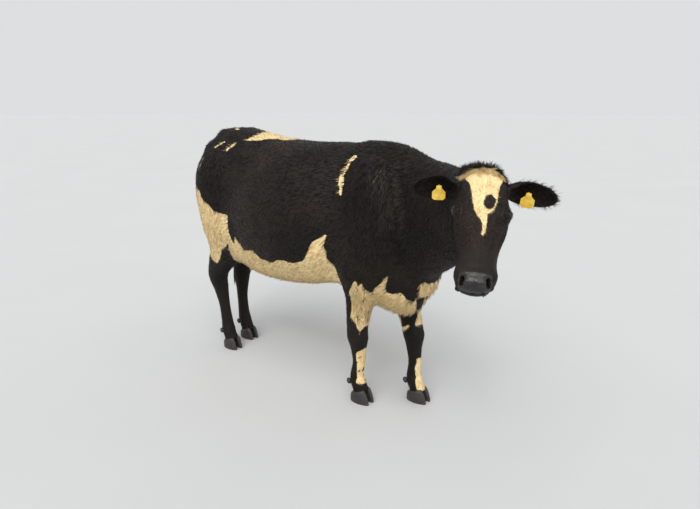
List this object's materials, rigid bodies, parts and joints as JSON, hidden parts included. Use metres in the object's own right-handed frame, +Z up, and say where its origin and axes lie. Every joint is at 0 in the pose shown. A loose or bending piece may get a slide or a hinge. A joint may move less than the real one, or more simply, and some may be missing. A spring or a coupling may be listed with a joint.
{
  "type": "polled dairy cow",
  "caption": "Standing black and white dairy cow without horns, head turned to its right, with a plain yellow tag in each ear.",
  "frame": {"origin": "on the floor under the middle of the cow's box", "axes": "+X along the trunk from the tail to the brisket, +Y to the cow's left, +Z up"},
  "size_m": [2.4344, 1.1034, 1.4673],
  "materials": {
    "black_coat": "short flat black hair with a soft sheen",
    "white_coat": "short flat cream white hair",
    "horn": "dark horn of the claws and dew claws",
    "eye": "wet dark eye",
    "teat_skin": "bare pinkish skin",
    "tag": "yellow ear tag, left bare"
  },
  "bodies": {
    "root": {"fore_left_inner_claw": "horn", "fore_left_inner_dew_claw": "horn", "fore_left_lower_leg": "black_coat", "fore_left_outer_claw": "horn", "fore_left_outer_dew_claw": "horn", "fore_left_teat": "teat_skin", "fore_left_upper_leg": "black_coat", "fore_right_inner_claw": "horn", "fore_right_inner_dew_claw": "horn", "fore_right_lower_leg": "black_coat", "fore_right_outer_claw": "horn", "fore_right_outer_dew_claw": "horn", "fore_right_teat": "teat_skin", "fore_right_upper_leg": "black_coat", "head": "black_coat", "hind_left_inner_claw": "horn", "hind_left_inner_dew_claw": "horn", "hind_left_lower_leg": "black_coat", "hind_left_outer_claw": "horn", "hind_left_outer_dew_claw": "horn", "hind_left_upper_leg": "black_coat", "hind_right_inner_claw": "horn", "hind_right_inner_dew_claw": "horn", "hind_right_lower_leg": "black_coat", "hind_right_outer_claw": "horn", "hind_right_outer_dew_claw": "horn", "hind_right_upper_leg": "black_coat", "left_ear": "black_coat", "left_ear_tag": "tag", "left_eye": "eye", "neck": "black_coat", "rear_left_teat": "teat_skin", "rear_right_teat": "teat_skin", "right_ear": "black_coat", "right_ear_tag": "tag", "right_eye": "eye", "tail": "black_coat", "tail_switch": "white_coat", "trunk": "black_coat", "udder": "white_coat"}
  },
  "joints": []
}
